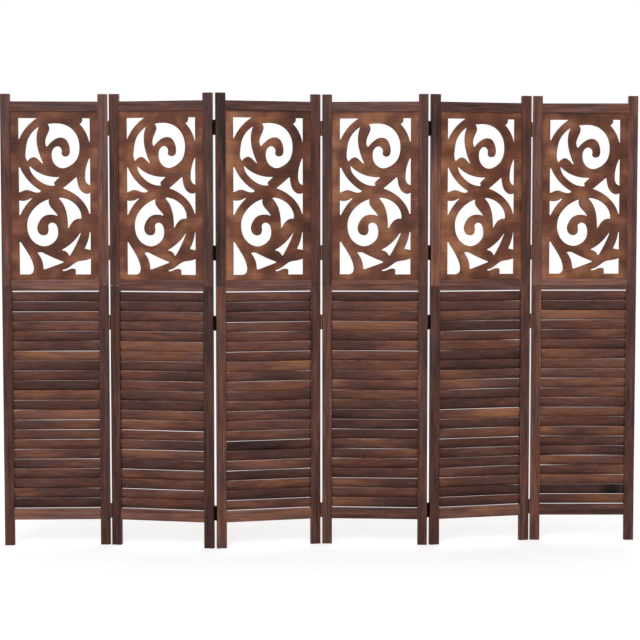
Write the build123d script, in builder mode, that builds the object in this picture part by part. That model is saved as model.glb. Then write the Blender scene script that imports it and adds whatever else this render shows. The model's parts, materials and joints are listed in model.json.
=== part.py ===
from build123d import *
from functools import cache
from math import cos, radians, sin
import os

# A folding screen of six equal panels that stand in a zigzag.
# Each panel is two wooden frames, one on top of the other: the upper frame holds a
# fretwork board in a groove, and the lower one holds fixed louvre slats in housings.
# X runs along the screen, Y from its front to its back, and Z up from the floor.
# Lengths are in millimetres and angles in degrees.

# Panels and the way they stand
panel_count = 6
panel_width = 398.0
panel_thickness = 20.0
panel_gap = 5.0  # between the edges of two neighbours, measured with the screen flat
first_panel_yaw = -0.1
fold_at_rest = (13.5, 25.0, 17.7, 18.0, 14.2)  # each joint's fold away from flat

# Heights of what a panel is made of, from the floor up
leg_height = 97.5
bottom_rail_height = 41.0
louvre_height = 826.0
lower_seam_rail_height = 18.5
upper_seam_rail_height = 24.0
fretwork_height = 628.0
top_rail_height = 37.0
horn_height = 28.0

# Frame members
stile_width = 36.5
stile_edge_radius = 1.5
rail_edge_radius = 1.0
end_edge_radius = 1.0

# Seam between the two frames: one stile is a little short, and light shows through there
seam_clearance = 0.2
short_stile = (2, "left")
short_stile_gap = 1.2

# Mortise and tenon joints
tenon_thickness = 8.0
rail_tenon_length = 18.0
seam_rail_tenon_length = 14.0
tenon_shoulder = 3.0
grooved_shoulder = 7.0
mortise_clearance = 0.1
mortise_end_clearance = 1.0

# Dowels that join the two frames end to end
dowel_radius = 6.0
dowel_reach = 35.0
dowel_inset = 13.5
dowel_chamfer = 1.0
dowel_clearance = 0.1
dowel_end_clearance = 1.0

# Fretwork board and the groove that holds it
board_thickness = 8.0
groove_depth = 6.0
groove_clearance = 0.15
board_end_clearance = 0.5
field_side_margin = 29.7
field_bottom_margin = 19.3
field_top_margin = 24.7

# Louvre slats
slat_count = 22
slat_width = 38.3
slat_thickness = 5.0
slat_tilt = 16.0  # the upper edge leans to the front
slat_edge_radius = 1.2
slat_top_gap = 3.6
slat_bottom_gap = 2.9
housing_depth = 6.0
housing_clearance = 0.15
slat_end_clearance = 0.5

# Butt hinges: a front pin lets two panels close front to front, a back pin back to back
hinge_above_floor = 131.0
hinge_below_seam = 137.0
hinge_above_seam = 125.0
hinge_below_top = 127.0
leaf_height = 55.0
leaf_width = 17.0
leaf_thickness = 1.4
knuckle_radius = 3.0
knuckle_gap = 0.3
pin_radius = 1.5
pin_standoff = 3.2  # from the panel's face out to the pin's axis
pin_fixed_clearance = 0.01
pin_running_clearance = 0.05
pin_head_radius = 2.4
pin_head_height = 0.9

# Countersunk screws in the hinge leaves
screws_per_leaf = 3
screw_spacing = 19.0
screw_head_radius = 2.9
screw_head_height = 1.4
screw_shank_radius = 1.5
screw_length = 15.0
screw_point_length = 4.0
screw_clearance = 0.1
recess_length = 3.2
recess_width = 0.8
recess_depth = 0.9

# Levels that follow from the heights
louvre_base = leg_height + bottom_rail_height
lower_seam_rail_base = louvre_base + louvre_height
seam_height = lower_seam_rail_base + lower_seam_rail_height
fretwork_base = seam_height + upper_seam_rail_height
top_rail_base = fretwork_base + fretwork_height
panel_height = top_rail_base + top_rail_height + horn_height
hinge_heights_low = (hinge_above_floor, seam_height - hinge_below_seam)
hinge_heights_high = (seam_height + hinge_above_seam, panel_height - hinge_below_top)
hinge_heights = hinge_heights_low + hinge_heights_high

# Places across a panel's thickness
mid_depth = panel_thickness / 2
board_front = mid_depth - board_thickness / 2

# Slat heights: the slats share the opening evenly between the gaps above and below them
slat_rise = slat_width * cos(radians(slat_tilt)) + slat_thickness * sin(radians(slat_tilt))
slat_lowest = louvre_base + slat_bottom_gap + slat_rise / 2
slat_highest = lower_seam_rail_base - slat_top_gap - slat_rise / 2
slat_pitch = (slat_highest - slat_lowest) / (slat_count - 1)
slat_heights = [slat_lowest + row * slat_pitch for row in range(slat_count)]

# Rails: (base, height, tenon length, shoulder below the tenon, shoulder above it)
rails = {
    "bottom": (leg_height, bottom_rail_height, rail_tenon_length, tenon_shoulder, tenon_shoulder),
    "lower seam": (
        lower_seam_rail_base, lower_seam_rail_height, seam_rail_tenon_length, tenon_shoulder, tenon_shoulder,
    ),
    "upper seam": (
        seam_height + seam_clearance, upper_seam_rail_height - seam_clearance, seam_rail_tenon_length,
        tenon_shoulder, grooved_shoulder,
    ),
    "top": (top_rail_base, top_rail_height, rail_tenon_length, grooved_shoulder, tenon_shoulder),
}

# The fretwork's openings, drawn on a field 266 wide and 584 high from its lower left corner.
# Each row starts at a corner and leads to the corner that starts the next row: a corner alone
# makes a straight edge, one more point makes an arc, and several make a smooth curve.
drawn_width = 266.0
drawn_height = 584.0
openings = {
    "top left corner": (((0, 584),), ((70, 584), (34, 554)), ((3, 506),), ((0, 507.5),)),
    "left crescent": (
        ((77, 552), (54, 534), (34, 502), (26.5, 464), (28.5, 430)),
        ((33, 423), (44, 434.5), (57, 439), (74, 429)),
        ((88, 415.5),),
        ((91, 417), (78, 449), (68.5, 490), (68, 519)),
    ),
    "top scroll": (
        (
            (109, 562), (148, 564.5), (179, 557), (205, 538), (222, 509), (227, 473), (216, 430),
            (188, 405), (160, 398), (136, 411), (123, 446), (132, 473), (148, 479), (158, 472),
        ),
        (
            (161, 457), (164, 445), (173, 441), (185, 445), (191, 464), (187, 487), (174, 507),
            (156, 512), (132, 503),
        ),
        ((107, 478.5),),
        ((103.5, 479.5), (100, 501), (107, 522), (115, 543)),
    ),
    "top right corner": (
        ((238, 584),), ((266, 584),), ((266, 498),), ((263, 497), (249, 535)), ((228, 562.5), (236, 569.5)),
    ),
    "right lens": (((266, 334.5),), ((266, 434),), ((262.5, 434), (253, 409), (247, 372), (251.5, 345))),
    "left middle": (
        ((0, 309),), ((0, 400),), ((5, 400), (34, 353)), ((82, 313.5),),
        ((80, 309.5), (55, 309), (28, 316.5), (12, 311.5)), ((2, 307),),
    ),
    "lower crescent": (
        ((40, 407), (72, 382), (108, 368)), ((150, 364.5),), ((150, 362), (140, 353.5)), ((130.5, 343),),
        ((134, 334),), ((130, 332.5), (98, 338), (64, 360.5), (44, 387)),
    ),
    "right middle": (
        ((164, 322.5), (190, 344)), ((213, 364),), ((216, 362), (219, 343), (230, 315.5), (251, 302)),
        ((266, 306.5),), ((266, 228),), ((262, 227), (244, 266), (206, 302.5)),
    ),
    "small left": (
        ((0, 277.5), (20, 275.8), (33, 279.5)), ((45, 286.5),), ((47.5, 283.5), (22, 254)), ((4, 222.5),),
        ((0, 224),),
    ),
    "bottom scroll": (
        (
            (112, 282), (84, 270), (52, 243), (33, 210), (29.5, 172), (41, 137), (66, 113), (95, 106),
            (122, 116), (141, 138), (144.5, 164), (134, 190), (121, 194), (110, 188),
        ),
        (
            (107.5, 179), (108.5, 166), (103, 151), (90, 146.5), (74, 154), (67, 172), (74, 197),
            (92, 218), (114, 224.5),
        ),
        ((142, 219.5),),
        ((142.5, 222), (124, 245), (112.5, 262)),
    ),
    "right crescent": (
        ((149, 284),), ((152, 287.5), (195, 274.5), (224, 245)), ((232, 214),),
        ((230, 208.5), (212, 207), (195, 192)), ((184, 173.5),), ((181.5, 174), (177, 228), (165, 263)),
    ),
    "small leaf": (
        ((227.5, 156.5),), ((229, 153), (210, 109)), ((189, 71.5),), ((184, 71.5), (176, 83.5)),
        ((160, 90),), ((159, 93), (190, 113.5)),
    ),
    "right sliver": (
        ((266, 158),), ((262.5, 159), (256, 128)), ((243.5, 98),), ((244, 96.5),), ((266, 91.5),),
    ),
    "bottom left leaf": (
        ((0, 0),), ((0, 121),), ((4.5, 122), (24, 91.5), (40, 64), (51, 34), (50, 10)), ((36, 0),),
    ),
    "bottom middle leaf": (
        ((66, 81), (77, 83)), ((88, 81), (112, 69)), ((163.5, 47.5),), ((163.5, 45), (125, 30.5)),
        ((93, 19),), ((88, 22.5), (82.5, 54)),
    ),
    "bottom right corner": (
        ((160, 17), (185, 27), (216, 47.5), (240, 52)), ((266, 59.5),), ((266, 0),), ((209, 0),),
        ((209, 15), (207, 20)), ((203, 21), (187, 20), (174, 14.5)), ((160, 13.5),),
    ),
}


def block(low, high, mode=Mode.ADD):
    """A box between two corners, added to or cut from the piece being made."""
    (x0, y0, z0), (x1, y1, z1) = low, high
    with Locations(((x0 + x1) / 2, (y0 + y1) / 2, (z0 + z1) / 2)):
        Box(abs(x1 - x0), abs(y1 - y0), abs(z1 - z0), mode=mode)


def across(side, distance):
    """The x that lies a distance in from the panel's outer edge on one side."""
    return distance if side == "left" else panel_width - distance


def pin_place(edge, face):
    """The x and y of the hinge pins on one edge of a panel, in the panel's own frame."""
    x = -panel_gap / 2 if edge == "left" else panel_width + panel_gap / 2
    y = -pin_standoff if face == "front" else panel_thickness + pin_standoff
    return x, y


def hinge_place(edge, face, height):
    """Where a hinge leaf goes on a panel, turned so that its plate lies on that edge."""
    turns = {
        ("right", "front"): (0, 0, 0),
        ("left", "front"): (0, 180, 0),
        ("right", "back"): (180, 0, 0),
        ("left", "back"): (0, 0, 180),
    }
    x, y = pin_place(edge, face)
    return Location((x, y, height), turns[edge, face])


def screw_places(edge, face, heights):
    """The screws of the hinges at some heights on one edge, each at the middle of its head."""
    x = leaf_thickness - panel_gap / 2
    y = pin_standoff + leaf_width / 2
    middle = (screws_per_leaf - 1) / 2
    return [
        hinge_place(edge, face, height) * Location((x, y, (row - middle) * screw_spacing))
        for height in heights
        for row in range(screws_per_leaf)
    ]


def screw_form(clearance):
    """A screw's turned shape about X, head flat at x = 0 and point towards -X."""
    shank = screw_shank_radius + clearance
    with BuildPart() as form:
        with BuildSketch(Plane.XY):
            with BuildLine():
                Polyline(
                    (0, 0),
                    (0, screw_head_radius + clearance),
                    (-screw_head_height, shank),
                    (screw_point_length - screw_length, shank),
                    (-screw_length - clearance, 0),
                    close=True,
                )
            make_face()
        revolve(axis=Axis.X)
    return form.part


def screw():
    """One countersunk screw with a cross recess in its head."""
    with BuildPart() as piece:
        add(screw_form(0))
        for length, width in ((recess_length, recess_width), (recess_width, recess_length)):
            block((-recess_depth, -length / 2, -width / 2), (0, length / 2, width / 2), Mode.SUBTRACT)
    return piece.part


def mortise(side, rail):
    """Cuts the mortise for one rail's tenon into the inner edge of the stile being made."""
    base, height, length, below, above = rail
    half = tenon_thickness / 2 + mortise_clearance
    deep_end = across(side, stile_width - length - mortise_end_clearance)
    block(
        (deep_end, mid_depth - half, base + below - mortise_clearance),
        (across(side, stile_width), mid_depth + half, base + height - above + mortise_clearance),
        Mode.SUBTRACT,
    )


def dowel_hole(side, end, direction):
    """Cuts the dowel's hole into the seam end of the stile being made, up or down from it."""
    depth = dowel_reach + dowel_end_clearance
    with Locations((across(side, dowel_inset), mid_depth, end + direction * depth / 2)):
        Cylinder(dowel_radius + dowel_clearance, depth, mode=Mode.SUBTRACT)


def screw_holes(edge, face, heights):
    """Cuts the holes for the hinge screws into the outer edge of the stile being made."""
    hole = screw_form(screw_clearance)
    with Locations(*screw_places(edge, face, heights)):
        add(hole, mode=Mode.SUBTRACT)


def stile_blank(side, base, top):
    """A stile's plain bar with its long edges eased, and the edges of its foot or its top."""
    block((across(side, 0), 0, base), (across(side, stile_width), panel_thickness, top))
    fillet(edges().filter_by(Axis.Z), stile_edge_radius)
    free_end = faces().sort_by(Axis.Z)[0 if base == 0 else -1]
    fillet(free_end.edges(), end_edge_radius)


@cache
def upper_stile(side, pin_face, base):
    """A stile of the fretwork frame, grooved for the board and bored for its dowel and screws."""
    with BuildPart() as stile:
        stile_blank(side, base, panel_height)
        half = board_thickness / 2 + groove_clearance
        block(
            (across(side, stile_width - groove_depth), mid_depth - half, fretwork_base - groove_depth),
            (across(side, stile_width), mid_depth + half, top_rail_base + groove_depth),
            Mode.SUBTRACT,
        )
        mortise(side, rails["upper seam"])
        mortise(side, rails["top"])
        dowel_hole(side, base, 1)
        if pin_face:
            screw_holes(side, pin_face, hinge_heights_high)
    return stile.part


def slat_sections(clearance):
    """The slats' end shapes, one above the other, in the sketch being made."""
    places = [Location((mid_depth, height, 0), (0, 0, slat_tilt)) for height in slat_heights]
    with Locations(*places):
        RectangleRounded(
            slat_thickness + 2 * clearance, slat_width + 2 * clearance, slat_edge_radius + clearance,
        )


@cache
def lower_stile(side, pin_face):
    """A stile of the louvre frame with a housing for each slat; its lower end is a leg."""
    with BuildPart() as stile:
        stile_blank(side, 0, seam_height)
        mortise(side, rails["bottom"])
        mortise(side, rails["lower seam"])
        dowel_hole(side, seam_height, -1)
        if pin_face:
            screw_holes(side, pin_face, hinge_heights_low)
        start = min(across(side, stile_width - housing_depth), across(side, stile_width))
        with BuildSketch(Plane.YZ.offset(start)):
            slat_sections(housing_clearance)
        extrude(amount=housing_depth, mode=Mode.SUBTRACT)
    return stile.part


def rail_bar(name):
    """One rail between the stiles, with a tenon at each end, eased along its long edges."""
    base, height, length, below, above = rails[name]
    with BuildPart() as bar:
        block((stile_width, 0, base), (panel_width - stile_width, panel_thickness, base + height))
        fillet(bar.edges().filter_by(Axis.X), rail_edge_radius)
        block(
            (stile_width - length, mid_depth - tenon_thickness / 2, base + below),
            (panel_width - stile_width + length, mid_depth + tenon_thickness / 2, base + height - above),
        )
        half = board_thickness / 2 + groove_clearance
        grooves = {
            "top": (base, base + groove_depth),
            "upper seam": (fretwork_base - groove_depth, fretwork_base),
        }
        if name in grooves:
            low, high = grooves[name]
            block(
                (stile_width, mid_depth - half, low),
                (panel_width - stile_width, mid_depth + half, high),
                Mode.SUBTRACT,
            )
    return bar.part


def field_point(point):
    """A point of the drawing, carried to its place on the board and stretched to the field."""
    x, z = point
    field_width = panel_width - 2 * (stile_width + field_side_margin)
    field_height = fretwork_height - field_bottom_margin - field_top_margin
    return (
        stile_width + field_side_margin + x * field_width / drawn_width,
        fretwork_base + field_bottom_margin + z * field_height / drawn_height,
    )


def fretwork_board():
    """The board in the upper frame with its scrollwork openings cut right through."""
    reach = groove_depth - board_end_clearance
    with BuildPart() as board:
        with BuildSketch(Plane.XZ.offset(-board_front)):
            with Locations((panel_width / 2, fretwork_base + fretwork_height / 2)):
                Rectangle(panel_width - 2 * (stile_width - reach), fretwork_height + 2 * reach)
            for rows in openings.values():
                with BuildLine():
                    for row, following in zip(rows, rows[1:] + rows[:1]):
                        points = [field_point(point) for point in (*row, following[0])]
                        if len(points) == 2:
                            Line(*points)
                        elif len(points) == 3:
                            ThreePointArc(*points)
                        else:
                            Spline(*points)
                make_face(mode=Mode.SUBTRACT)
        extrude(amount=-board_thickness)
    return board.part


def slats():
    """The louvre slats of one panel, each let into both stiles."""
    reach = housing_depth - slat_end_clearance
    with BuildPart() as row:
        with BuildSketch(Plane.YZ.offset(stile_width - reach)):
            slat_sections(0)
        extrude(amount=panel_width - 2 * (stile_width - reach))
    return row.part


def dowel(side, gap):
    """The dowel between the two halves of a stile."""
    length = 2 * dowel_reach + gap
    with BuildPart() as peg:
        with Locations((across(side, dowel_inset), mid_depth, seam_height + gap / 2)):
            Cylinder(dowel_radius, length)
        chamfer(peg.edges().filter_by(GeomType.CIRCLE), dowel_chamfer)
    return peg.part


def hinge_leaf(rows, bore_clearance):
    """A hinge leaf about its pin's axis: the plate lies on the -X side and runs to +Y.

    The height is shared by three knuckles, and rows says which of them are this leaf's.
    """
    knuckle_height = (leaf_height - 2 * knuckle_gap) / 3
    plate_back = -panel_gap / 2
    plate_front = plate_back + leaf_thickness
    with BuildPart() as leaf:
        block(
            (plate_back, pin_standoff, -leaf_height / 2),
            (plate_front, pin_standoff + leaf_width, leaf_height / 2),
        )
        for row in rows:
            base = row * (knuckle_height + knuckle_gap) - leaf_height / 2
            with Locations((0, 0, base + knuckle_height / 2)):
                Cylinder(knuckle_radius, knuckle_height)
            block((plate_back, 0, base), (plate_front, pin_standoff, base + knuckle_height))
        Cylinder(pin_radius + bore_clearance, 2 * leaf_height, mode=Mode.SUBTRACT)
        hole = screw_form(screw_clearance)
        middle = (screws_per_leaf - 1) / 2
        heights = [(row - middle) * screw_spacing for row in range(screws_per_leaf)]
        with Locations(*[(plate_front, pin_standoff + leaf_width / 2, height) for height in heights]):
            add(hole, mode=Mode.SUBTRACT)
    return leaf.part


def hinge_pin():
    """The pin through a hinge's knuckles, with a low head at each end."""
    with BuildPart() as pin:
        Cylinder(pin_radius, leaf_height)
        for end in (-1, 1):
            with Locations((0, 0, end * (leaf_height + pin_head_height) / 2)):
                Cylinder(pin_head_radius, pin_head_height)
    return pin.part


def pin_face_of(joint):
    """Joints take turns: the first folds its panels front to front, the next back to back."""
    return "front" if joint % 2 == 0 else "back"


def standing_places():
    """Each panel's place in plan, from the left, with the whole screen centred on the origin."""
    yaws = [first_panel_yaw]
    for joint, fold in enumerate(fold_at_rest):
        yaws.append(yaws[-1] - fold if pin_face_of(joint) == "front" else yaws[-1] + fold)
    places = [Location((0, 0, 0), (0, 0, yaws[0]))]
    pins = []
    for joint, yaw in enumerate(yaws[1:]):
        face = pin_face_of(joint)
        pins.append((places[-1] * Location((*pin_place("right", face), 0))).position)
        x, y = pin_place("left", face)
        places.append(Location(pins[-1], (0, 0, yaw)) * Location((-x, -y, 0)))
    corners = [
        (place * Location((x, y, 0))).position
        for place in places
        for x in (0, panel_width)
        for y in (0, panel_thickness)
    ]
    reach = Vector(knuckle_radius, knuckle_radius, 0)
    corners += [pin + side for pin in pins for side in (reach, -reach)]
    middle_x = (min(c.X for c in corners) + max(c.X for c in corners)) / 2
    middle_y = (min(c.Y for c in corners) + max(c.Y for c in corners)) / 2
    return [Location((-middle_x, -middle_y, 0)) * place for place in places]


def write(name, pieces, place):
    """Stands some pieces of a panel in the screen and writes them as one file."""
    with BuildPart() as node:
        with Locations(place):
            add(pieces)
    node.part.label = name
    export_step(node.part, f"parts/{name}.step")


def hinged_edges(number):
    """The hinged edges of a panel, numbered from 1 at the left: (edge, face of the pins)."""
    hinged = []
    if number > 1:
        hinged.append(("left", pin_face_of(number - 2)))
    if number < panel_count:
        hinged.append(("right", pin_face_of(number - 1)))
    return hinged


def write_panel(number, place, bars, board, louvres, one_screw):
    """Writes the wooden pieces and the hinge screws of one panel."""
    pin_faces = dict(hinged_edges(number))
    gaps = {
        side: short_stile_gap if (number, side) == short_stile else seam_clearance
        for side in ("left", "right")
    }
    name = f"panel_{number}"
    write(
        f"{name}_upper_stiles",
        [upper_stile(side, pin_faces.get(side), seam_height + gap) for side, gap in gaps.items()],
        place,
    )
    write(f"{name}_lower_stiles", [lower_stile(side, pin_faces.get(side)) for side in gaps], place)
    write(f"{name}_rails", bars, place)
    write(f"{name}_fretwork_board", [board], place)
    write(f"{name}_slats", [louvres], place)
    write(f"{name}_seam_dowels", [dowel(side, gap) for side, gap in gaps.items()], place)
    spots = [spot for edge, face in pin_faces.items() for spot in screw_places(edge, face, hinge_heights)]
    write(f"{name}_hinge_screws", [one_screw.moved(spot) for spot in spots], place)


def write_joint(joint, places, leaves, pin):
    """Writes the four hinges of one joint: the left panel's leaves and pins, the right panel's leaves."""
    name = f"hinge_{joint + 1}_{joint + 2}"
    face = pin_face_of(joint)
    left = [hinge_place("right", face, height) for height in hinge_heights]
    right = [hinge_place("left", face, height) for height in hinge_heights]
    write(f"{name}_left_leaves", [leaves["outer"].moved(spot) for spot in left], places[joint])
    write(f"{name}_right_leaves", [leaves["inner"].moved(spot) for spot in right], places[joint + 1])
    write(f"{name}_pins", [pin.moved(spot) for spot in left], places[joint])


def main():
    os.makedirs("parts", exist_ok=True)
    places = standing_places()
    bars = [rail_bar(rail) for rail in rails]
    board = fretwork_board()
    louvres = slats()
    one_screw = screw()
    for number, place in enumerate(places, 1):
        write_panel(number, place, bars, board, louvres, one_screw)
    leaves = {
        "outer": hinge_leaf((0, 2), pin_fixed_clearance),
        "inner": hinge_leaf((1,), pin_running_clearance),
    }
    pin = hinge_pin()
    for joint in range(panel_count - 1):
        write_joint(joint, places, leaves, pin)


main()
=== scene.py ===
import json
import math

import bpy
import numpy as np
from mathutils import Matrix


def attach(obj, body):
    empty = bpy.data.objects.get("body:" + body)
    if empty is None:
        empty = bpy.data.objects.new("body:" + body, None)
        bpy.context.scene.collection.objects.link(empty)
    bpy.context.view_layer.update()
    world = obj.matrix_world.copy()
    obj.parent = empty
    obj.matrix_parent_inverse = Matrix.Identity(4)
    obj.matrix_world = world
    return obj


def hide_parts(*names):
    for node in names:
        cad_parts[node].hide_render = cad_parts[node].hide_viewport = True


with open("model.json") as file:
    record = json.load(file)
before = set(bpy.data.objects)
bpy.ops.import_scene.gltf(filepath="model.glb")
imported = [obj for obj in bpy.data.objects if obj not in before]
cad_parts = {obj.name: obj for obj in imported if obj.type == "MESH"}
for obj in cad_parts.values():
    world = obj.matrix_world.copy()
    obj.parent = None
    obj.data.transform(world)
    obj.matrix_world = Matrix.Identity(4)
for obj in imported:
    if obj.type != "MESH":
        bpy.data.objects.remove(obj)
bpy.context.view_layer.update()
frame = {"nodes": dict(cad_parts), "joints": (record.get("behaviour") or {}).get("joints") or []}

bl_info = {
    "name": "Folding Screen",
    "version": (1, 0, 0),
    "blender": (4, 5, 0),
    "location": "3D View > Sidebar > Folding Screen",
    "description": "Finishes a folding screen of fretwork and louvre panels",
    "category": "Object",
}

MM = 0.001

# Tones run from 0, where the stain took darkest, to 1, the palest wood.
# Stiles: (upper left, upper right, lower left, lower right)
STILE_TONES = {
    1: (0.43, 0.57, 0.32, 0.32),
    2: (0.32, 0.33, 0.27, 0.19),
    3: (0.2, 0.41, 0.53, 0.33),
    4: (0.31, 0.38, 0.47, 0.33),
    5: (0.71, 0.4, 0.31, 0.41),
    6: (0.6, 0.57, 0.56, 0.38),
}
# Rails: (bottom, lower seam, upper seam, top)
RAIL_TONES = {
    1: (0.78, 0.64, 0.71, 0.47),
    2: (0.67, 0.55, 0.5, 0.46),
    3: (0.76, 0.6, 0.62, 0.36),
    4: (0.44, 0.55, 0.62, 0.5),
    5: (0.63, 0.5, 0.59, 0.38),
    6: (0.35, 0.55, 0.86, 0.6),
}
# Fretwork boards: (left edge, right edge, how much paler the lower edge is)
BOARD_TONES = {
    1: (0.48, 0.52, 0.05),
    2: (0.6, 0.49, 0.02),
    3: (0.68, 0.41, 0.09),
    4: (0.62, 0.52, -0.08),
    5: (0.73, 0.53, 0.0),
    6: (0.62, 0.52, 0.22),
}
# Slats that stand out from the rest of their panel, counted from the top
SLAT_TONE = 0.51
SLAT_STEPS = {"palest": 0.22, "pale": 0.1, "dark": -0.09, "darkest": -0.18}
SLAT_GROUPS = {
    1: {"palest": (7, 13), "pale": (3, 4, 11, 16, 17), "dark": (2, 8, 12), "darkest": (10, 22)},
    2: {"palest": (6,), "pale": (7, 10, 14, 15, 17, 19), "dark": (1, 2, 12, 18)},
    3: {"palest": (8,), "pale": (4, 6, 10, 14, 15, 18, 20), "dark": (2, 17, 21), "darkest": (16, 19)},
    4: {"palest": (4,), "pale": (2, 7, 8, 10, 11), "dark": (1, 12, 14, 15), "darkest": (13,)},
    5: {"palest": (13,), "pale": (3, 6, 9, 10), "dark": (1, 4, 8, 11, 12, 16), "darkest": (7, 21)},
    6: {"palest": (3,), "pale": (7, 8, 9, 10, 11, 13, 15, 18, 20), "dark": (2, 14, 16, 17), "darkest": (21,)},
}

# Slats whose upper edge was planed low or left high, so that the slit above them stands wider or
# narrower: how low the edge is, in millimetres, at the left end, the middle and the right end
LOW_EDGES = {
    1: {3: (1.2, 1.0, 0.5), 7: (-0.3, 0.9, 1.3), 11: (-0.8, -0.2, -0.2), 14: (0.0, 0.8, 1.1),
        15: (-0.7, 1.0, 1.0), 16: (-0.4, 0.9, 0.7), 18: (0.5, 0.0, 1.0), 20: (-0.9, -0.6, -0.5)},
    2: {1: (0.0, 0.6, 0.6), 12: (-0.8, -0.4, -0.1), 15: (1.0, 1.3, 1.5), 17: (0.2, 0.5, 0.8),
        19: (0.6, 1.0, 0.6), 20: (-0.4, -0.7, -0.7), 21: (0.9, 1.2, 0.9), 22: (0.2, -0.6, -0.7)},
    3: {4: (0.5, 1.1, 0.8), 7: (0.7, 0.7, 0.8), 8: (-0.5, 0.1, -0.8), 16: (0.9, 1.1, 0.8),
        17: (-0.2, -0.8, -0.4), 19: (1.5, 1.2, 1.0), 21: (-0.4, -0.8, -0.1), 22: (0.9, 1.1, 1.1)},
    4: {6: (-0.4, -0.6, -1.0), 7: (0.4, 1.0, 0.8), 8: (-0.7, -0.6, -0.2), 15: (0.8, 0.8, 0.8),
        16: (-0.1, -0.3, -1.0), 18: (0.9, -0.3, 0.3), 19: (-0.7, -0.8, 0.4), 20: (1.0, 0.5, 0.9),
        22: (0.2, -1.0, -0.7)},
    5: {5: (-0.5, 1.0, 0.1), 6: (-0.5, -0.6, 1.4), 8: (-0.8, -0.5, -0.5), 10: (-0.6, 0.1, 1.3),
        12: (-1.0, -0.9, -0.2), 13: (0.5, 0.8, 1.0), 16: (0.7, 1.0, 1.2), 21: (-0.5, -0.8, 0.5)},
    6: {4: (1.1, 0.2, 0.0), 7: (-0.6, -0.3, -0.6), 10: (1.2, -0.3, 0.0), 16: (-0.1, -0.1, 0.6),
        19: (1.7, -0.5, -0.4), 20: (-0.8, -0.2, 0.7), 22: (0.9, 0.9, 0.9)},
}

# How strongly each pattern changes the tone: patches, streaks, growth rings and fibres
FRAME_PATTERN = (1.0, 0.9, 0.5, 0.35)
BOARD_PATTERN = (1.5, 0.2, 0.2, 0.15)
SLAT_PATTERN = (0.65, 0.3, 0.3, 0.3)

# Each pattern's size in millimetres along the grain and across it, and how fine its detail is
STILE_PATCH = (150, 22, 3.0)
RAIL_PATCH = (120, 16, 3.0)
BOARD_PATCH = (85, 75, 1.5)
SLAT_PATCH = (75, 15, 3.0)
STREAK = (320, 7, 3.0)         # as wide as a pencil
FIBRE = (38, 0.9, 2.0)         # real pores are finer, and these are as coarse as shows
RING_BEND = (210, 60, 1.0)
HUE = (170, 30, 3.0)

# More sizes of patterns, in millimetres
RING_SPACING = 4.0
RING_WANDER = 30.0
# The pale corner patches are partly wear and partly painted highlight on the rounded edges
PALE_CORNER_LENGTH = 25.0           # of the patches where a corner is rubbed pale
STRIP_HEIGHT = 105.0           # of the strips that a fretwork board is glued up from
PLATING_RUB = 6.25
BEECH_FLECK = 0.625


def linear(code):
    """The linear colour, with an alpha of 1, of an sRGB hex code such as "#5D423B"."""
    shares = [int(code[i:i + 2], 16) / 255 for i in (1, 3, 5)]
    return [c / 12.92 if c <= 0.04045 else ((c + 0.055) / 1.055) ** 2.4 for c in shares] + [1.0]


def stain(name, description, code):
    """A colour that a user may change, given as a hex code."""
    return bpy.props.FloatVectorProperty(
        name=name, description=description, subtype="COLOR", size=4, min=0, max=1, default=linear(code))


def length(name, description, millimetres):
    """A length that a user may change, given in millimetres and held in metres."""
    return bpy.props.FloatProperty(
        name=name, description=description, unit="LENGTH", min=0, default=millimetres * MM)


def angle(name, description, degrees):
    """An angle that a user may change, given in degrees and held in radians."""
    return bpy.props.FloatProperty(
        name=name, description=description, subtype="ANGLE", default=math.radians(degrees))


class ScreenSizes(bpy.types.PropertyGroup):
    panel_width: length("Panel width", "Width of one panel", 398)
    panel_thickness: length("Panel thickness", "Thickness of a panel's frame", 20)
    panel_gap: length("Panel gap", "Gap between two panels laid flat", 5)
    pin_standoff: length("Pin stand-off", "From a panel's face to the hinge pin's axis", 3.2)
    first_yaw: angle("First panel's turn", "How far the left panel is turned from the X axis", -0.1)
    stile_width: length("Stile width", "Width of an upright of the frame", 36.5)
    louvre_base: length("Louvre base", "Height of the louvre opening's lower edge", 138.5)
    louvre_top: length("Louvre top", "Height of the louvre opening's upper edge", 964.5)
    seam_height: length("Seam height", "Height of the seam between the two frames", 983)
    fretwork_middle: length("Fretwork middle", "Height of the fretwork board's middle", 1321)


class SlatSizes(bpy.types.PropertyGroup):
    count: bpy.props.IntProperty(name="Slats", description="Slats in one panel", min=2, default=22)
    width: length("Slat width", "Width of a slat", 38.3)
    thickness: length("Slat thickness", "Thickness of a slat", 5)
    tilt: angle("Slat tilt", "How far a slat's upper edge leans to the front", 16)
    edge_radius: length("Slat edge radius", "Rounding of a slat's long edges", 1.2)
    widening: length("Widening", "How much wider each slat is than the one above it", 0.04)
    top_gap: length("Top gap", "Open height above the highest slat", 3.0)
    bottom_gap: length("Bottom gap", "Open height below the lowest slat", 2.1)
    reach: length("Housing reach", "How far a slat's end goes into the stile", 5.5)
    warp: length("Warp", "How far a slat's edges stray from straight", 0.25)


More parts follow.
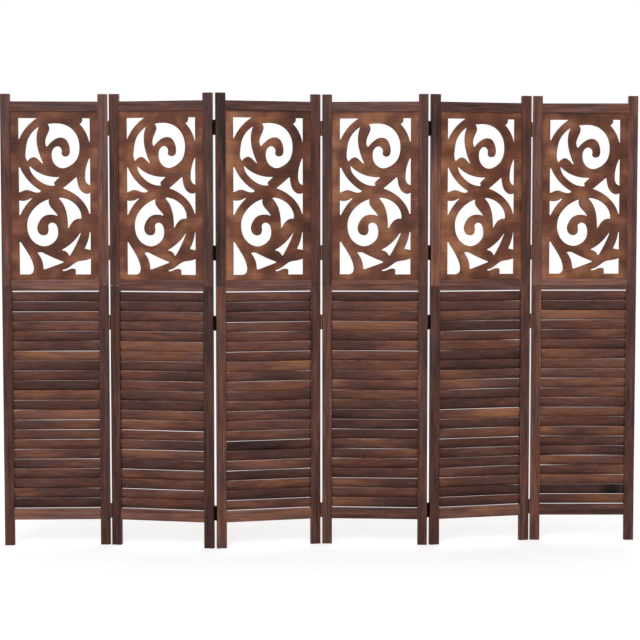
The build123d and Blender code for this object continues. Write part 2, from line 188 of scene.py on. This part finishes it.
class Stains(bpy.types.PropertyGroup):
    cool_dark: stain("Cool dark", "Deepest walnut stain, purplish side", "#1A0E0D")
    cool_mid: stain("Cool middle", "Walnut stain over ordinary wood, purplish side", "#553834")
    cool_pale: stain("Cool pale", "Walnut stain over pale wood, purplish side", "#865E55")
    warm_dark: stain("Warm dark", "Deepest walnut stain, reddish side", "#2A130C")
    warm_mid: stain("Warm middle", "Walnut stain over ordinary wood, reddish side", "#6A3D2B")
    warm_pale: stain("Warm pale", "Walnut stain over sapwood, orange side", "#A87150")
    beech: stain("Beech", "Bare beech of the dowels", "#B98F62")
    # The dark bronze is painted shade: a darker copy of the plating for the hinges fitted from behind, which
    # stand in shade deep in the gap between the panels
    shaded_bronze: stain("Painted shade bronze", "Bronze plating darkened as painted shade", "#1E1613")
    bronze: stain("Plain bronze", "Plain bronze plating", "#6B5044")
    worn: stain("Worn plating", "Metal that shows where the plating has rubbed off", "#A58A68")
    floor: stain("Floor", "Pale matt floor", "#F4F4F4")


def panel_places(sizes):
    """Each panel's origin in metres and its yaw in radians, found from the joints.

    A joint's lowest angle lays it flat, so it is minus the fold at rest. Odd joints have their
    pins in front and turn the next panel clockwise; even ones have them behind.
    """
    joints = {joint["name"]: joint for joint in frame["joints"]}
    half_gap = sizes.panel_gap / 2
    yaw = sizes.first_yaw
    places = []
    for number in range(1, len(joints) + 1):
        joint = joints[f"fold_{number}_{number + 1}"]
        front = number % 2 == 1
        pin_y = -sizes.pin_standoff if front else sizes.panel_thickness + sizes.pin_standoff
        pin = np.array(joint["pos_m"][:2])
        if number == 1:
            places.append((pin - turned(sizes.panel_width + half_gap, pin_y, yaw), yaw))
        fold = math.radians(-joint["range_deg"][0])
        yaw += -fold if front else fold
        places.append((pin - turned(-half_gap, pin_y, yaw), yaw))
    return places


def turned(x, y, yaw):
    """The vector (x, y) turned by yaw about Z."""
    return np.array([x * math.cos(yaw) - y * math.sin(yaw), x * math.sin(yaw) + y * math.cos(yaw)])


def new_material(name):
    """A material with an empty tree."""
    material = bpy.data.materials.new(name)
    material.use_nodes = True
    material.node_tree.nodes.clear()
    return material, material.node_tree


def add_node(tree, kind, sockets=None, **settings):
    """Adds a shader node with its settings and its links.

    Each socket is given a value, another node's output, or a node whose first output is meant.
    """
    made = tree.nodes.new("ShaderNode" + kind)
    for key, value in settings.items():
        setattr(made, key, value)
    for key, value in (sockets or {}).items():
        if isinstance(value, bpy.types.Node):
            value = value.outputs[0]
        if isinstance(value, bpy.types.NodeSocket):
            tree.links.new(value, made.inputs[key])
        else:
            made.inputs[key].default_value = value
    return made


def panel_coordinates(tree, place):
    """X, Y and Z of the Object coordinates turned into a panel's own frame, in millimetres."""
    (x, y), yaw = place
    local = add_node(tree, "Mapping", {
        "Vector": add_node(tree, "TexCoord").outputs["Object"],
        "Location": (x, y, 0),
        "Rotation": (0, 0, yaw),
        "Scale": (MM, MM, MM),
    }, vector_type="TEXTURE")
    return tuple(add_node(tree, "SeparateXYZ", {"Vector": local}).outputs)


def streaks(tree, grain, seed, size):
    """Noise from 0 to 1 that is stretched along the grain by a pattern's size."""
    along, across, depth = grain
    run, width, detail = size
    place = add_node(tree, "CombineXYZ", {"X": across, "Y": depth, "Z": along})
    place = add_node(tree, "VectorMath", {0: place, 1: (width, width, run)}, operation="DIVIDE")
    return add_node(tree, "TexNoise", {
        "Vector": place, "W": seed, "Scale": 1.0, "Detail": detail, "Roughness": 0.6,
    }, noise_dimensions="4D")


def pale_corner_wear_and_highlight(tree, along, seed, u, half_u, v, half_v):
    """Where a bar's long corners are painted pale, from 0 to 1, in patches along the bar: partly wear, and
    partly painted highlight where the rounded edges catch the light.

    u and v run from the bar's centre line to its faces, which are half_u and half_v away. The
    paleness starts 1.9 mm from a corner and is full 0.5 mm from it.
    """
    away = add_node(tree, "CombineXYZ", {"X": u, "Y": v})
    away = add_node(tree, "VectorMath", {0: away}, operation="ABSOLUTE")
    away = add_node(tree, "VectorMath", {0: away, 1: (half_u, half_v, 0)}, operation="SUBTRACT")
    away = add_node(tree, "VectorMath", {0: away}, operation="LENGTH").outputs["Value"]
    near = add_node(tree, "MapRange", {"Value": away, "From Min": 1.9, "From Max": 0.5},
                    interpolation_type="SMOOTHSTEP")
    place = add_node(tree, "Math", {0: along, 1: 1 / PALE_CORNER_LENGTH, 2: seed}, operation="MULTIPLY_ADD")
    patch = add_node(tree, "TexNoise", {"W": place, "Scale": 1.0, "Detail": 4.0}, noise_dimensions="1D")
    rubbed = add_node(tree, "MapRange", {"Value": patch, "From Min": 0.42, "From Max": 0.62},
                      interpolation_type="SMOOTHSTEP")
    return add_node(tree, "Math", {0: near, 1: rubbed}, operation="MULTIPLY")


def stained_wood(tree, stains, grain, seed, tone, warmth, pattern, patch, wear_and_highlight=0.0):
    """Walnut stain and satin lacquer over a pale open-grained wood, such as paulownia.

    The stain sinks in unevenly and deepest into the pores, so the wood shows soft patches and
    dark fibres, and the lacquer gives a low sheen that the pores break up. grain holds the
    distances along, across and through the wood, in millimetres. The lightness is the tone plus
    four patterns, each centred on 0: patches, long streaks, growth rings and short fibres. The
    corners are paler, partly from wear and partly as painted highlight where the rounded edges catch the
    light. Growth rings lie aslant through the thickness and wander.
    """
    fibres = streaks(tree, grain, seed, FIBRE)
    slant = add_node(tree, "Math", {0: grain[2], 1: 0.4, 2: grain[1]}, operation="MULTIPLY_ADD")
    bend = streaks(tree, grain, seed, RING_BEND)
    wander = add_node(tree, "Math", {0: bend, 1: RING_WANDER, 2: slant}, operation="MULTIPLY_ADD")
    ring = add_node(tree, "Math", {0: wander, 1: 1 / RING_SPACING, 2: seed}, operation="MULTIPLY_ADD")
    rings = add_node(tree, "TexNoise", {"W": ring, "Scale": 1.0, "Detail": 2.0}, noise_dimensions="1D")
    # Pale corners add to the tone: partly wear, partly painted highlight on the rounded edges
    lightness = add_node(tree, "Math", {0: wear_and_highlight, 1: 0.3, 2: tone}, operation="MULTIPLY_ADD")
    noises = (streaks(tree, grain, seed, patch), streaks(tree, grain, seed, STREAK), rings, fibres)
    for noise, share in zip(noises, pattern):
        lightness = add_node(tree, "Math", {0: noise, 1: share, 2: lightness}, operation="MULTIPLY_ADD")
    lightness = add_node(tree, "Math", {0: lightness, 1: sum(pattern) / 2}, operation="SUBTRACT")

    # The hue swings between the cool and the warm stains, about the warmth that is asked for
    hue_seed = add_node(tree, "Math", {0: seed, 1: 31.7}, operation="ADD")
    hue = streaks(tree, grain, hue_seed, HUE)
    warm_share = add_node(tree, "Math", {0: hue, 1: 3.0, 2: warmth}, operation="MULTIPLY_ADD")
    warm_share = add_node(tree, "Math", {0: warm_share, 1: 1.5}, operation="SUBTRACT", use_clamp=True)
    dark, middle, pale = [
        add_node(tree, "Mix", {0: warm_share, 6: cool, 7: warm}, data_type="RGBA").outputs[2]
        for cool, warm in (
            (stains.cool_dark, stains.warm_dark),
            (stains.cool_mid, stains.warm_mid),
            (stains.cool_pale, stains.warm_pale),
        )
    ]
    colour = dark
    for shade, start, end in ((middle, 0.0, 0.5), (pale, 0.5, 1.0)):
        share = add_node(tree, "MapRange", {"Value": lightness, "From Min": start, "From Max": end})
        colour = add_node(tree, "Mix", {0: share, 6: colour, 7: shade}, data_type="RGBA").outputs[2]
    shader = add_node(tree, "BsdfPrincipled", {
        "Base Color": colour,
        "Roughness": add_node(tree, "Math", {0: fibres, 1: 0.22, 2: 0.36}, operation="MULTIPLY_ADD"),
        "Specular IOR Level": 0.2,
        "Normal": add_node(tree, "Bump", {"Height": fibres, "Strength": 0.4, "Distance": 0.15 * MM}),
    })
    add_node(tree, "OutputMaterial", {"Surface": shader})


def sapwood_line(tree, x, z):
    """A pale line of sapwood, 2 mm wide, that crosses a stile aslant as it goes down."""
    line = add_node(tree, "Math", {0: z, 1: -0.06, 2: 51.4}, operation="MULTIPLY_ADD")
    away = add_node(tree, "Math", {0: x, 1: line}, operation="SUBTRACT")
    away = add_node(tree, "Math", {0: away}, operation="ABSOLUTE")
    shown = 1.0
    # It fades in over the heights 330 to 420 and out over 700 to 800
    for value, start, end in ((away, 1.6, 0.3), (z, 330, 420), (z, 800, 700)):
        share = add_node(tree, "MapRange", {"Value": value, "From Min": start, "From Max": end},
                         interpolation_type="SMOOTHSTEP")
        shown = add_node(tree, "Math", {0: shown, 1: share}, operation="MULTIPLY")
    return shown


def stile_material(name, place, sizes, stains, seed, tones, dark_top, sapwood):
    """Planed stiles, stained and lacquered: dark streaks run up them, and their corners are pale, partly from
    wear and partly as painted highlight.

    The two stiles of a pair are told apart by which half of the panel they are in. The left one
    may darken towards its top, and may have a line of sapwood.
    """
    material, tree = new_material(name)
    x, y, z = panel_coordinates(tree, place)
    half_width, half_panel = sizes.stile_width / MM / 2, sizes.panel_width / MM / 2
    half_thick = sizes.panel_thickness / MM / 2
    from_middle = add_node(tree, "Math", {0: x, 1: half_panel}, operation="SUBTRACT")
    right = add_node(tree, "Math", {0: from_middle, 1: 0.0}, operation="GREATER_THAN")
    left = add_node(tree, "Math", {0: 1.0, 1: right}, operation="SUBTRACT")
    own_seed = add_node(tree, "Math", {0: right, 1: 7.3, 2: seed}, operation="MULTIPLY_ADD")
    step = tones[1] - tones[0]
    own_tone = add_node(tree, "Math", {0: right, 1: step, 2: tones[0]}, operation="MULTIPLY_ADD")
    if dark_top:
        top = add_node(tree, "MapRange", {"Value": z, "From Min": 1350, "From Max": 1600},
                       interpolation_type="SMOOTHSTEP")
        top = add_node(tree, "Math", {0: left, 1: top}, operation="MULTIPLY")
        own_tone = add_node(tree, "Math", {0: top, 1: -dark_top, 2: own_tone}, operation="MULTIPLY_ADD")
    if sapwood:
        line = add_node(tree, "Math", {0: left, 1: sapwood_line(tree, x, z)}, operation="MULTIPLY")
        own_tone = add_node(tree, "Math", {0: line, 1: sapwood, 2: own_tone}, operation="MULTIPLY_ADD")
    u = add_node(tree, "Math", {0: from_middle}, operation="ABSOLUTE")
    u = add_node(tree, "Math", {0: u, 1: half_panel - half_width}, operation="SUBTRACT")
    v = add_node(tree, "Math", {0: y, 1: half_thick}, operation="SUBTRACT")
    # Pale corners: partly wear, partly painted highlight on the rounded edges
    wear_and_highlight = pale_corner_wear_and_highlight(tree, z, own_seed, u, half_width, v, half_thick)
    stained_wood(tree, stains, (z, x, y), own_seed, own_tone, 0.3, FRAME_PATTERN, STILE_PATCH, wear_and_highlight)
    return material


def rail_material(name, place, sizes, stains, seed, tones):
    """Planed rails, stained and lacquered: dark streaks run along them, and end at the stiles.

    The four rails are told apart by height.
    """
    material, tree = new_material(name)
    x, y, z = panel_coordinates(tree, place)
    own_seed, own_tone = seed, tones[0]
    for index, height in enumerate((sizes.louvre_base, sizes.seam_height, sizes.fretwork_middle)):
        above = add_node(tree, "Math", {0: z, 1: height / MM}, operation="GREATER_THAN")
        step = tones[index + 1] - tones[index]
        own_seed = add_node(tree, "Math", {0: above, 1: 5.9, 2: own_seed}, operation="MULTIPLY_ADD")
        own_tone = add_node(tree, "Math", {0: above, 1: step, 2: own_tone}, operation="MULTIPLY_ADD")
    stained_wood(tree, stains, (x, z, y), own_seed, own_tone, 0.2, FRAME_PATTERN, RAIL_PATCH)
    return material


def board_material(name, place, sizes, stains, seed, tones):
    """Strips glued up into a board, sawn out, stained and lacquered: warm, cloudy and of level grain.

    Each strip has a slightly different tone. The tone also changes from the left edge to the
    right one, and near the lower edge.
    """
    material, tree = new_material(name)
    x, y, z = panel_coordinates(tree, place)
    strip_place = add_node(tree, "Math", {0: z, 1: 1 / STRIP_HEIGHT, 2: seed}, operation="MULTIPLY_ADD")
    strips = add_node(tree, "TexVoronoi", {"W": strip_place, "Scale": 1.0, "Randomness": 0.7},
                      voronoi_dimensions="1D")
    strip = add_node(tree, "SeparateXYZ", {"Vector": strips.outputs["Color"]})
    # Neighbouring strips share most of each pattern
    own_seed = add_node(tree, "Math", {0: strip, 1: 0.35, 2: seed}, operation="MULTIPLY_ADD")
    edge, width, seam = sizes.stile_width / MM, sizes.panel_width / MM, sizes.seam_height / MM
    own_tone = tones[0] - 0.05     # because the strips add up to 0.07
    for value, start, end, step in (
        (x, edge, width - edge, tones[1] - tones[0]),
        (z, seam + 90, seam + 50, tones[2]),       # the lower edge starts within 90 mm of the seam
    ):
        share = add_node(tree, "MapRange", {"Value": value, "From Min": start, "From Max": end},
                         interpolation_type="SMOOTHSTEP")
        own_tone = add_node(tree, "Math", {0: share, 1: step, 2: own_tone}, operation="MULTIPLY_ADD")
    own_tone = add_node(tree, "Math", {0: strip, 1: 0.07, 2: own_tone}, operation="MULTIPLY_ADD")
    stained_wood(tree, stains, (x, z, y), own_seed, own_tone, 1.05, BOARD_PATTERN, BOARD_PATCH)
    return material


def slat_material(name, slats, stains):
    """Thin planed slats, stained and lacquered: each takes the stain in its own way, so no two match.

    The grain follows each slat. Its tone, its seed and its place in the wood come from the mesh.
    """
    material, tree = new_material(name)
    place = add_node(tree, "Attribute", attribute_name="grain_place").outputs["Vector"]
    tone = add_node(tree, "Attribute", attribute_name="slat_tone").outputs["Fac"]
    seed = add_node(tree, "Attribute", attribute_name="slat_seed").outputs["Fac"]
    grain = tuple(add_node(tree, "SeparateXYZ", {"Vector": place}).outputs)
    half_width, half_thick = slats.width / MM / 2, slats.thickness / MM / 2
    # Pale corners, partly wear and partly painted highlight where the rounded slat edges catch the light
    wear_and_highlight = pale_corner_wear_and_highlight(tree, grain[0], seed, grain[1], half_width, grain[2], half_thick)
    warmth = add_node(tree, "Math", {0: tone, 1: 1.3, 2: -0.4}, operation="MULTIPLY_ADD")
    stained_wood(tree, stains, grain, seed, tone, warmth, SLAT_PATTERN, SLAT_PATCH, wear_and_highlight)
    return material


def bronze_material(name, plating, worn):
    """Steel with a bronze plating: a dark metal sheen, dulled and rubbed a little in patches."""
    material, tree = new_material(name)
    place = add_node(tree, "TexCoord").outputs["Object"]
    rub = add_node(tree, "TexNoise", {"Vector": place, "Scale": 1 / (PLATING_RUB * MM), "Detail": 4.0})
    share = add_node(tree, "MapRange", {"Value": rub, "From Min": 0.58, "From Max": 0.75},
                     interpolation_type="SMOOTHSTEP")
    shader = add_node(tree, "BsdfPrincipled", {
        "Base Color": add_node(tree, "Mix", {0: share, 6: plating, 7: worn}, data_type="RGBA").outputs[2],
        "Roughness": add_node(tree, "Math", {0: rub, 1: 0.25, 2: 0.35}, operation="MULTIPLY_ADD"),
        "Metallic": 0.8,
    })
    add_node(tree, "OutputMaterial", {"Surface": shader})
    return material


def beech_material(stains):
    """Bare turned beech: pale and matt, with short dark flecks that run along the dowel."""
    material, tree = new_material("Bare_turned_beech")
    place = add_node(tree, "TexCoord").outputs["Object"]
    along = add_node(tree, "Mapping", {"Vector": place, "Scale": (1.0, 1.0, 0.2)})
    flecks = add_node(tree, "TexNoise", {"Vector": along, "Scale": 1 / (BEECH_FLECK * MM)})
    share = add_node(tree, "MapRange", {"Value": flecks, "From Min": 0.3, "From Max": 0.6})
    dark_fleck = [c * 0.7 for c in stains.beech[:3]] + [1.0]
    colour = add_node(tree, "Mix", {0: share, 6: dark_fleck, 7: stains.beech}, data_type="RGBA").outputs[2]
    shader = add_node(tree, "BsdfPrincipled", {"Base Color": colour, "Roughness": 0.6})
    add_node(tree, "OutputMaterial", {"Surface": shader})
    return material


def floor_material(stains):
    """A matt floor that a well-lit studio burns out to white, and that fades away 3 m out."""
    material, tree = new_material("Pale_matt_floor")
    matt = add_node(tree, "BsdfPrincipled", {
        "Base Color": stains.floor, "Roughness": 0.9, "Specular IOR Level": 0.0,
    })
    seen = add_node(tree, "LightPath").outputs["Is Camera Ray"]
    strength = add_node(tree, "Math", {0: seen, 1: 0.4}, operation="MULTIPLY")
    lit = add_node(tree, "AddShader", {0: matt, 1: add_node(tree, "Emission", {"Strength": strength})})
    place = add_node(tree, "TexCoord").outputs["Object"]
    distance = add_node(tree, "VectorMath", {0: place}, operation="LENGTH").outputs["Value"]
    far = add_node(tree, "MapRange", {"Value": distance, "From Min": 1.8, "From Max": 3.2},
                   interpolation_type="SMOOTHSTEP")
    blended = add_node(tree, "MixShader", {0: far, 1: lit, 2: add_node(tree, "BsdfTransparent")})
    add_node(tree, "OutputMaterial", {"Surface": blended})
    return material


def dress(node, material):
    """Gives a CAD node one material in its own slot."""
    if node not in frame["nodes"]:
        raise RuntimeError(f"The frame has no piece called {node}")
    slots = frame["nodes"][node].data.materials
    if len(slots):
        slots[0] = material
    else:
        slots.append(material)


def slat_surface(sizes, slats, low_edge, slat, rng):
    """One louvre slat as rows of points, with each point's place in the wood in millimetres.

    The rows run along the slat. Each goes once round its end shape, a rectangle with a quarter
    circle at each corner, leant by the slat's tilt. With s from -1 to 1 along the slat, the upper
    edge is lowered by a parabola through three heights, both edges stray by a s + b (2 s^2 - 1),
    and the slat bows by c (1 - s^2).
    """
    s = np.linspace(-1, 1, 29)[:, None]
    quarter = np.repeat([0, 1, 2, 3], 3) * math.pi / 2
    turn = quarter + np.tile([0, 0.25, 0.5], 4) * math.pi
    radius = slats.edge_radius
    thick = np.sign(np.cos(quarter + math.pi / 4)) * (slats.thickness / 2 - radius) + radius * np.cos(turn)
    wide = np.sign(np.sin(quarter + math.pi / 4)) * (slats.width / 2 - radius) + radius * np.sin(turn)
    left, middle, right = [value * MM for value in low_edge]
    lowered = middle + (right - left) / 2 * s + ((left + right) / 2 - middle) * s ** 2
    a_up, b_up, a_down, b_down, bow = rng.normal(0, slats.warp / 2, 5)
    edge_up = a_up * s + b_up * (2 * s ** 2 - 1) - lowered + slats.widening * (slat - 1)
    edge_down = a_down * s + b_down * (2 * s ** 2 - 1)
    across = wide + np.where(wide > 0, edge_up, edge_down)
    depth = thick + 3 * bow * (1 - s ** 2)
    lean = slats.tilt + rng.normal(0, 0.003) + s * rng.normal(0, 0.003)
    rise = slats.width * math.cos(slats.tilt) + slats.thickness * math.sin(slats.tilt)
    lowest = sizes.louvre_base + slats.bottom_gap + rise / 2
    highest = sizes.louvre_top - slats.top_gap - rise / 2
    height = highest - (slat - 1) * (highest - lowest) / (slats.count - 1)
    x = sizes.panel_width / 2 + s * (sizes.panel_width / 2 - sizes.stile_width + slats.reach) + 0 * across
    y = sizes.panel_thickness / 2 - across * np.sin(lean) - depth * np.cos(lean)
    z = height + across * np.cos(lean) - depth * np.sin(lean)
    return np.stack([x, y, z], -1), np.stack([x, across, depth], -1) / MM


def tube_faces(rows, around):
    """The faces of a closed tube of point rows: a quad for each cell, and one face at each end."""
    row, column = np.meshgrid(np.arange(rows - 1), np.arange(around), indexing="ij")
    here = row * around + column
    beside = row * around + (column + 1) % around
    quads = np.stack([here, here + around, beside + around, beside], -1).reshape(-1, 4)
    last = (rows - 1) * around
    return quads.tolist() + [list(range(around)), list(range(last, last + around))[::-1]]


def slat_tone(number, slat, rng, s):
    """A slat's tone along its length, with s from -1 at its left end to 1 at its right."""
    tone = SLAT_TONE + rng.normal(0, 0.035)
    for group, slats in SLAT_GROUPS[number].items():
        if slat in slats:
            tone += SLAT_STEPS[group]
    tone = tone + rng.normal(0, 0.05) * s + rng.normal(0, 0.05) * np.cos(3 * s + rng.uniform(0, 6))
    if (number, slat) == (6, 21):
        tone -= 0.45 * np.exp(-((s - 0.68) / 0.2) ** 2)      # a black smudge near the right end
    return tone


def louvre_mesh(number, sizes, slats, place):
    """All the slats of one panel as one mesh, with the attributes that their material reads."""
    rng = np.random.default_rng(40 + number)
    points, woods, faces, tones, seeds = [], [], [], [], []
    for slat in range(1, slats.count + 1):
        surface, wood = slat_surface(sizes, slats, LOW_EDGES[number].get(slat, (0, 0, 0)), slat, rng)
        rows, around = surface.shape[:2]
        start = (slat - 1) * rows * around
        faces += [[start + corner for corner in face] for face in tube_faces(rows, around)]
        points.append(surface.reshape(-1, 3))
        woods.append(wood.reshape(-1, 3))
        tones.append(np.repeat(slat_tone(number, slat, rng, np.linspace(-1, 1, rows)), around))
        seeds.append(np.full(rows * around, number * 3.7 + slat * 1.9))
    local = np.concatenate(points)
    origin, yaw = place
    plan = turned(local[:, 0], local[:, 1], yaw).T + origin
    mesh = bpy.data.meshes.new(f"panel_{number}_louvre_slats")
    mesh.from_pydata(np.column_stack([plan, local[:, 2]]).tolist(), [], faces)
    for name, kind, field, values in (
        ("grain_place", "FLOAT_VECTOR", "vector", np.concatenate(woods)),
        ("slat_tone", "FLOAT", "value", np.concatenate(tones)),
        ("slat_seed", "FLOAT", "value", np.concatenate(seeds)),
    ):
        mesh.attributes.new(name, kind, "POINT").data.foreach_set(field, values.astype(np.float32).ravel())
    mesh.polygons.foreach_set("use_smooth", [len(face) == 4 for face in faces])
    mesh.update()
    return mesh


class DIVIDER_OT_frames(bpy.types.Operator):
    """Stains the stiles and rails of every panel"""
    bl_idname = "divider.stain_frames"
    bl_label = "Stain the frames"

    def execute(self, context):
        sizes, stains = context.scene.divider_sizes, context.scene.divider_stains
        rng = np.random.default_rng(7)
        for number, place in enumerate(panel_places(sizes), 1):
            tones = STILE_TONES[number]
            # The fifth panel's left stile is black at its top, and the second one's has a line of
            # sapwood lower down
            dark_top = 0.5 if number == 5 else 0
            sapwood = 0.4 if number == 2 else 0
            for level, pair, top, line in (
                ("upper", tones[:2], dark_top, 0),
                ("lower", tones[2:], 0, sapwood),
            ):
                material = stile_material(
                    f"Walnut_stained_{level}_stiles_{number}", place, sizes, stains, rng.uniform(0, 90),
                    pair, top, line)
                dress(f"panel_{number}_{level}_stiles", material)
            material = rail_material(
                f"Walnut_stained_rails_{number}", place, sizes, stains, rng.uniform(0, 90),
                RAIL_TONES[number])
            dress(f"panel_{number}_rails", material)
        return {"FINISHED"}


class DIVIDER_OT_fretwork(bpy.types.Operator):
    """Stains the fretwork boards"""
    bl_idname = "divider.stain_fretwork"
    bl_label = "Stain the fretwork"

    def execute(self, context):
        sizes, stains = context.scene.divider_sizes, context.scene.divider_stains
        rng = np.random.default_rng(11)
        for number, place in enumerate(panel_places(sizes), 1):
            material = board_material(
                f"Walnut_stained_board_{number}", place, sizes, stains, rng.uniform(0, 90),
                BOARD_TONES[number])
            dress(f"panel_{number}_fretwork_board", material)
        return {"FINISHED"}


class DIVIDER_OT_louvres(bpy.types.Operator):
    """Makes the louvre slats, each a little uneven, in place of the plain ones"""
    bl_idname = "divider.make_louvres"
    bl_label = "Make the louvre slats"

    def execute(self, context):
        sizes, slats = context.scene.divider_sizes, context.scene.divider_slats
        material = slat_material("Walnut_stained_slats", slats, context.scene.divider_stains)
        for number, place in enumerate(panel_places(sizes), 1):
            mesh = louvre_mesh(number, sizes, slats, place)
            mesh.materials.append(material)
            piece = bpy.data.objects.new(mesh.name, mesh)
            context.scene.collection.objects.link(piece)
            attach(piece, f"panel_{number}")
            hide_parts(f"panel_{number}_slats")
        return {"FINISHED"}


class DIVIDER_OT_hardware(bpy.types.Operator):
    """Plates the hinges and their screws, with a darker plating as painted shade on the hinges fitted from
    behind, and leaves the seam dowels bare
    """
    bl_idname = "divider.finish_hardware"
    bl_label = "Finish the hardware"

    def execute(self, context):
        stains = context.scene.divider_stains
        beech = beech_material(stains)
        plain_bronze = bronze_material("Plain_bronze_plated_steel", stains.bronze, stains.worn)
        # A darker copy of the plating, as painted shade
        dark = bronze_material("Painted_shade_bronze_plated_steel", stains.shaded_bronze, stains.bronze)
        for node in frame["nodes"]:
            # The hinges fitted from behind sit deep in the gap between the panels, so they get the darker
            # plating as painted shade
            if node.startswith(("hinge_2_3", "hinge_4_5")):    # fitted from behind
                dress(node, dark)
            elif node.startswith("hinge_") or node.endswith("_hinge_screws"):
                dress(node, plain_bronze)
            elif node.endswith("_seam_dowels"):
                dress(node, beech)
        return {"FINISHED"}


class DIVIDER_OT_stage(bpy.types.Operator):
    """Sets the floor, the soft light and the camera"""
    bl_idname = "divider.set_stage"
    bl_label = "Set the stage"

    def execute(self, context):
        scene = context.scene
        scene.view_settings.view_transform = "Standard"
        self.make_world(scene)
        self.make_floor(scene)
        self.make_lamps(scene)
        self.place_camera(scene)
        return {"FINISHED"}

    def make_world(self, scene):
        """White where the camera or a reflection sees it, and a plain grey light elsewhere."""
        world = bpy.data.worlds.new("Studio")
        scene.world = world
        world.use_nodes = True
        tree = world.node_tree
        tree.nodes.clear()
        rays = add_node(tree, "LightPath").outputs
        seen = rays["Is Camera Ray"]
        for kind in ("Is Glossy Ray", "Is Transmission Ray"):
            seen = add_node(tree, "Math", {0: seen, 1: rays[kind]}, operation="MAXIMUM")
        strength = add_node(tree, "Math", {0: seen, 1: 0.45, 2: 0.55}, operation="MULTIPLY_ADD")
        background = add_node(tree, "Background", {"Color": (1, 1, 1, 1), "Strength": strength})
        add_node(tree, "OutputWorld", {"Surface": background})

    def make_floor(self, scene):
        """A floor that reaches 6 m each way."""
        reach = 6.0
        mesh = bpy.data.meshes.new("Floor")
        corners = [(-reach, -reach, 0), (reach, -reach, 0), (reach, reach, 0), (-reach, reach, 0)]
        mesh.from_pydata(corners, [], [(0, 1, 2, 3)])
        mesh.materials.append(floor_material(scene.divider_stains))
        floor = bpy.data.objects.new("Floor", mesh)
        scene.collection.objects.link(floor)

    def make_lamps(self, scene):
        """One broad soft lamp above and in front, and a weaker one behind, aimed at the middle."""
        for name, place, size, watts in (
            ("Front_softbox", (-1.0, -4.5, 3.6), 3.5, 130),
            ("Rear_softbox", (1.2, 4.0, 3.2), 3.0, 60),
        ):
            lamp = bpy.data.lights.new(name, "AREA")
            lamp.shape = "SQUARE"
            lamp.size = size
            lamp.energy = watts
            holder = bpy.data.objects.new(name, lamp)
            scene.collection.objects.link(holder)
            holder.location = place
            x, y, z = np.array([0, 0, 0.85]) - np.array(place)
            holder.rotation_euler = (math.atan2(math.hypot(x, y), -z), 0, math.atan2(-x, y))

    def place_camera(self, scene):
        """The photograph's view: 1.2 m up, 6 m away and a little left of the middle."""
        lens = bpy.data.cameras.new("Camera")
        lens.sensor_width = 36.0
        lens.lens = 36.0 * 1602 / 640      # the fitted focal length is 1602 of the photograph's 640 pixels
        camera = bpy.data.objects.new("Camera", lens)
        scene.collection.objects.link(camera)
        camera.location = (-0.2654, -6.024, 1.225)
        camera.rotation_euler = (math.radians(90 - 3.52), 0, math.radians(-2.44))
        scene.camera = camera


class DIVIDER_PT_panel(bpy.types.Panel):
    bl_idname = "DIVIDER_PT_panel"
    bl_label = "Folding Screen"
    bl_space_type = "VIEW_3D"
    bl_region_type = "UI"
    bl_category = "Folding Screen"

    def draw(self, context):
        for operator in OPERATORS:
            self.layout.operator(operator.bl_idname)
        scene = context.scene
        for group in (scene.divider_sizes, scene.divider_slats, scene.divider_stains):
            box = self.layout.box()
            for name in type(group).__annotations__:
                box.prop(group, name)


OPERATORS = (
    DIVIDER_OT_stage,
    DIVIDER_OT_frames,
    DIVIDER_OT_fretwork,
    DIVIDER_OT_louvres,
    DIVIDER_OT_hardware,
)
CLASSES = (ScreenSizes, SlatSizes, Stains) + OPERATORS + (DIVIDER_PT_panel,)


def register():
    for cls in CLASSES:
        bpy.utils.register_class(cls)
    bpy.types.Scene.divider_sizes = bpy.props.PointerProperty(type=ScreenSizes)
    bpy.types.Scene.divider_slats = bpy.props.PointerProperty(type=SlatSizes)
    bpy.types.Scene.divider_stains = bpy.props.PointerProperty(type=Stains)


def unregister():
    del bpy.types.Scene.divider_sizes
    del bpy.types.Scene.divider_slats
    del bpy.types.Scene.divider_stains
    for cls in reversed(CLASSES):
        bpy.utils.unregister_class(cls)


def main():
    register()
    bpy.ops.divider.set_stage()
    bpy.ops.divider.stain_frames()
    bpy.ops.divider.stain_fretwork()
    bpy.ops.divider.make_louvres()
    bpy.ops.divider.finish_hardware()


if __name__ == "__main__":
    main()
